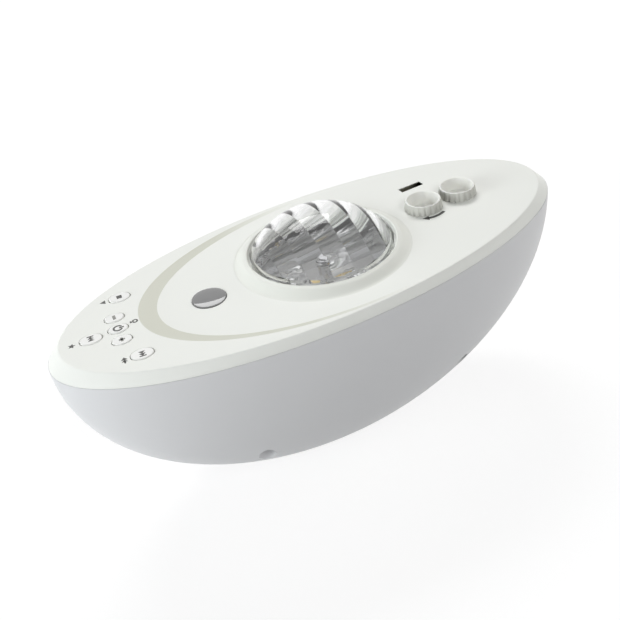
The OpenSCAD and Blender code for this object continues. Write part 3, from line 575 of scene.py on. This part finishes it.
def ring_head(name, x):
    outside = [(8.75, 0), (8.9, 0.2), (8.6, 2.1), (8.33, 4.0), (8.2, 4.35), (7.95, 4.58)]
    mouth = [(7.6, 4.58), (7.4, 4.45), (7.28, 4.15), (5.8, -0.4), (5.65, -0.7), (5.4, -0.8), (3.3, -0.8)]
    neck = [(3.3, -2.4), (4.96, -2.4), (4.96, RING_FOOT), (6.2, RING_FOOT), (6.2, RING_FOOT + 0.7),
            (5.7, RING_FOOT + 0.7), (5.7, RING_FOOT + 1.7), (6.2, RING_FOOT + 1.7), (6.2, 0)]
    bm = lathe(outside + mouth + neck, 240, ring=True)
    for v in bm.verts:
        if v.co.z > -0.01 and v.co.xy.length > FLUTED_R:
            low = max(0.0, -cos(FLUTES * Vector((1, 0)).angle_signed(v.co.xy, 0))) ** 0.5
            v.co.xy *= 1 - low * max(0.0, FLUTE_DEPTH - FLUTE_FADE * v.co.z)
    # Faces on the fluted outer wall get the darker copy, as painted shade.
    for f in bm.faces:
        middle = f.calc_center_median()
        if middle.xy.length > SHADED_WALL_R and 0 < middle.z < SHADED_WALL_TOP:
            f.material_index = 1
    finish(bm, name + "_ring", name + "_ring_body", "ring_white", name + "_focus_ring",
           looks=("ring_white", "ring_wall_shade"), move=(x, 0, RING_Z))


for name, x in RINGS.items():
    ring_head(name, x)


# Star window: a smoked lens with a low crown, a little below the deck

def star_lens():
    flange_r, flange_z = STAR_R + STAR_FLANGE_OUT, UNDER_Z - STAR_FLANGE_H
    crown = [(STAR_R * sin(radians(a)), STAR_CROWN_Z + STAR_CROWN * cos(radians(a))) for a in range(85, -1, -5)]
    profile = [(0, flange_z), (flange_r, flange_z), (flange_r, UNDER_Z), (STAR_R, UNDER_Z),
               (STAR_R, STAR_WALL_Z), *crown]
    bm = lathe(profile, 128)
    finish(bm, "star_lens", "housing", "window_dark", "star_window", move=(STAR_X, 0, 0))


star_lens()


# Printed symbols: thin inks on the keys, the panel and the deck, their tops towards the focus rings

def ink(parts, x, y, z, turn=0.0):
    """Ink a hair thick at a height, or lying on the deck where z is None."""
    bm = bmesh.new()
    for draw in parts:
        draw(bm)
    made = bmesh.ops.extrude_face_region(bm, geom=bm.faces[:], use_keep_orig=True)["geom"]
    bmesh.ops.translate(bm, vec=(0, 0, INK), verts=[g for g in made if isinstance(g, bmesh.types.BMVert)])
    place_flat(bm, bm.verts, x, y, 1, 1, turn - 90)
    for v in bm.verts:
        v.co.z += deck_height(v.co.x) if z is None else z
    bmesh.ops.recalc_face_normals(bm, faces=bm.faces)
    return bm


def bar(x, y, w, h):
    def draw(bm):
        place_flat(bm, square(bm), x, y, w, h)
    return draw


def wedge(x, y, w, h, turn):
    def draw(bm):
        made = bmesh.ops.create_circle(bm, cap_ends=True, segments=3, radius=1)["verts"]
        place_flat(bm, made, x, y, w, h, turn - 90)
    return draw


def star(x, y, r):
    def draw(bm):
        made = bmesh.ops.create_circle(bm, cap_ends=True, segments=10, radius=1)["verts"]
        bmesh.ops.scale(bm, vec=(0.45, 0.45, 1), verts=made[1::2])
        place_flat(bm, made, x, y, r, r)
    return draw


def band(x, y, r, thick, start, sweep):
    def draw(bm):
        before = set(bm.verts)
        spine = bm.edges.new([bm.verts.new((r + side * thick / 2, 0, 0)) for side in (-1, 1)])
        place_flat(bm, spine.verts[:], 0, 0, 1, 1, start)
        bmesh.ops.spin(bm, geom=[*spine.verts, spine], cent=(0, 0, 0), axis=(0, 0, 1), angle=radians(sweep),
                       steps=40, use_merge=abs(sweep) >= 360)
        place_flat(bm, [v for v in bm.verts if v not in before], x, y, 1, 1)
    return draw


SYMBOLS = {
    "rear": [bar(0, 0, 2.5, 2.3)],
    "front": [wedge(-1.0, 0, 1.05, 1.6, 0), wedge(0.5, 0, 1.05, 1.6, 0), bar(1.8, 0, 0.7, 2.8)],
    "end": [wedge(1.0, 0, 1.05, 1.6, 180), wedge(-0.5, 0, 1.05, 1.6, 180), bar(-1.8, 0, 0.7, 2.8)],
    "small_rear": [bar(0, 0, 3.2, 1.3)],
    "power": [band(0, 0, 1.75, 0.85, 118, 304), bar(0, 1.5, 0.85, 2.1)],
    "small_front": [bar(0, 0, 2.8, 1.1), bar(0, 0, 1.1, 2.6)],
}
for name, parts in SYMBOLS.items():
    look = "mark_pale" if name.startswith("small") else "mark_grey"
    finish(ink(parts, *key_place(KEYS[name][0]), KEY_TOP, KEY_TURN), name + "_symbol", name + "_key_body",
           "black_plastic", looks=(look,))

PANEL_MARKS = {
    "rear": (-90.8, 26.5, [wedge(0, 0, 1.7, 1.7, -90)]),
    "power": (-84.9, 3.5, [band(0, 0.5, 0.95, 0.7, 0, 360), bar(0, -1.3, 1.4, 0.8)]),
    "end": (-112.1, 3.6, [star(0, 0, 1.7)]),
    "front": (-97.4, -20.4, [wedge(-1.0, 0, 1.2, 1.6, 180), wedge(0.4, 0, 1.0, 1.5, 180),
                             bar(1.2, 0, 1.6, 0.7)]),
}
for name, (x, y, parts) in PANEL_MARKS.items():
    finish(ink(parts, x, y, TOP_Z, KEY_TURN), name + "_mark", "housing", "black_plastic", looks=("mark_grey",))
arrow = [band(0, 0, 10.5, 1.5, 28, -50), wedge(9.4, -4.6, 2.1, 2.1, -116)]
finish(ink(arrow, RINGS["inner"], 0, None), "turn_arrow", "housing", "black_plastic", looks=("mark_grey",))


# Stage: white floor, lamps all around, and the camera

def seen_plainly(n, link):
    """One for rays from the camera, off gloss or through glass, none for the light that falls on things."""
    path = n.new("ShaderNodeLightPath")
    kinds = path.outputs["Is Camera Ray"]
    for other in ("Is Glossy Ray", "Is Transmission Ray"):
        either = n.new("ShaderNodeMath")
        either.operation = "MAXIMUM"
        link(kinds, either.inputs[0])
        link(path.outputs[other], either.inputs[1])
        kinds = either.outputs[0]
    return kinds


def floor():
    """Floor just below the feet, lit up where it is seen, so that only a faint shadow stays."""
    bm = bmesh.new()
    bmesh.ops.create_grid(bm, x_segments=1, y_segments=1, size=FLOOR_HALF,
                          matrix=Matrix.Translation((0, 0, FLOOR_Z)))
    made, n, link, shader = blank("floor white", Roughness=0.9)
    seen = seen_plainly(n, link)
    tone = n.new("ShaderNodeMix")
    tone.data_type = "RGBA"
    tone.inputs["A"].default_value = rgb(0.75, 0.75, 0.75)
    tone.inputs["B"].default_value = rgb(0.2, 0.2, 0.2)
    link(seen, tone.inputs["Factor"])
    link(tone.outputs["Result"], shader.inputs["Base Color"])
    glow = n.new("ShaderNodeEmission")
    level = n.new("ShaderNodeMath")
    level.operation = "MULTIPLY"
    level.inputs[1].default_value = FLOOR_GLOW
    link(seen, level.inputs[0])
    link(level.outputs[0], glow.inputs["Strength"])
    both = n.new("ShaderNodeAddShader")
    link(shader.outputs[0], both.inputs[0])
    link(glow.outputs[0], both.inputs[1])
    link(both.outputs[0], n["Material Output"].inputs["Surface"])
    ground = to_object(bm, "floor")
    ground.data.materials.append(made)


def surroundings():
    """Dim bluish light on things, plain white where it is seen."""
    world = bpy.data.worlds.new("studio")
    scene.world = world
    world.use_nodes = True
    n, link = world.node_tree.nodes, world.node_tree.links.new
    around = n["Background"]
    around.inputs["Color"].default_value = rgb(0.9, 0.93, 1.0)
    around.inputs["Strength"].default_value = 0.03
    white = n.new("ShaderNodeBackground")
    white.inputs["Color"].default_value = rgb(1, 1, 1)
    mix = n.new("ShaderNodeMixShader")
    link(seen_plainly(n, link), mix.inputs[0])
    link(around.outputs[0], mix.inputs[1])
    link(white.outputs[0], mix.inputs[2])
    link(mix.outputs[0], n["World Output"].inputs["Surface"])


def lamp(name, place, wide, high, power, shine=False, tint=(1.0, 1.0, 1.0)):
    """Soft lamp aimed at the object; only a shining one is mirrored in glossy pieces."""
    data = bpy.data.lights.new(name, "AREA")
    data.shape = "RECTANGLE"
    data.size = wide
    data.size_y = high
    data.energy = power
    data.color = tint
    light = bpy.data.objects.new(name, data)
    light.location = place
    light.rotation_euler = (Vector(AIM) - Vector(place)).to_track_quat("-Z", "Y").to_euler()
    light.visible_glossy = shine
    light.visible_transmission = False
    scene.collection.objects.link(light)


def photo_camera():
    """The photo's camera, worked out from the ovals in it."""
    camera = bpy.data.objects.new("camera", bpy.data.cameras.new("camera"))
    camera.data.sensor_width = 36
    camera.data.lens = 53.998
    camera.data.clip_start = 0.01
    right = (0.86692408, -0.47787412, -0.14170026)
    up = (0.37490002, 0.43780528, 0.81717594)
    back = (-0.3284701, -0.76155293, 0.55869896)
    place = (-0.146622, -0.323797, 0.301405)
    camera.matrix_world = Matrix([*zip(right, up, back, place), (0, 0, 0, 1)])
    scene.collection.objects.link(camera)
    scene.camera = camera


COOL = (0.95, 0.985, 1.0)
WARM = (1.0, 0.99, 0.95)
floor()
surroundings()
lamp("window light", (0.6, 2.2, 2.6), 2.0, 1.2, 30, shine=True)
lamp("back light", (0.6, 2.2, 2.6), 2.0, 1.2, 46)
lamp("front light", (0.5, -3.0, 2.6), 1.6, 1.6, 54)
lamp("low light", (-3.9, 0.2, 0.6), 1.6, 1.6, 90, tint=COOL)
lamp("near light", (-1.1, -0.25, 0.5), 0.7, 0.7, 3.8, tint=COOL)
lamp("end fill", (3.6, -0.3, 1.4), 1.6, 1.6, 31, tint=WARM)
photo_camera()
scene.view_settings.view_transform = "Standard"
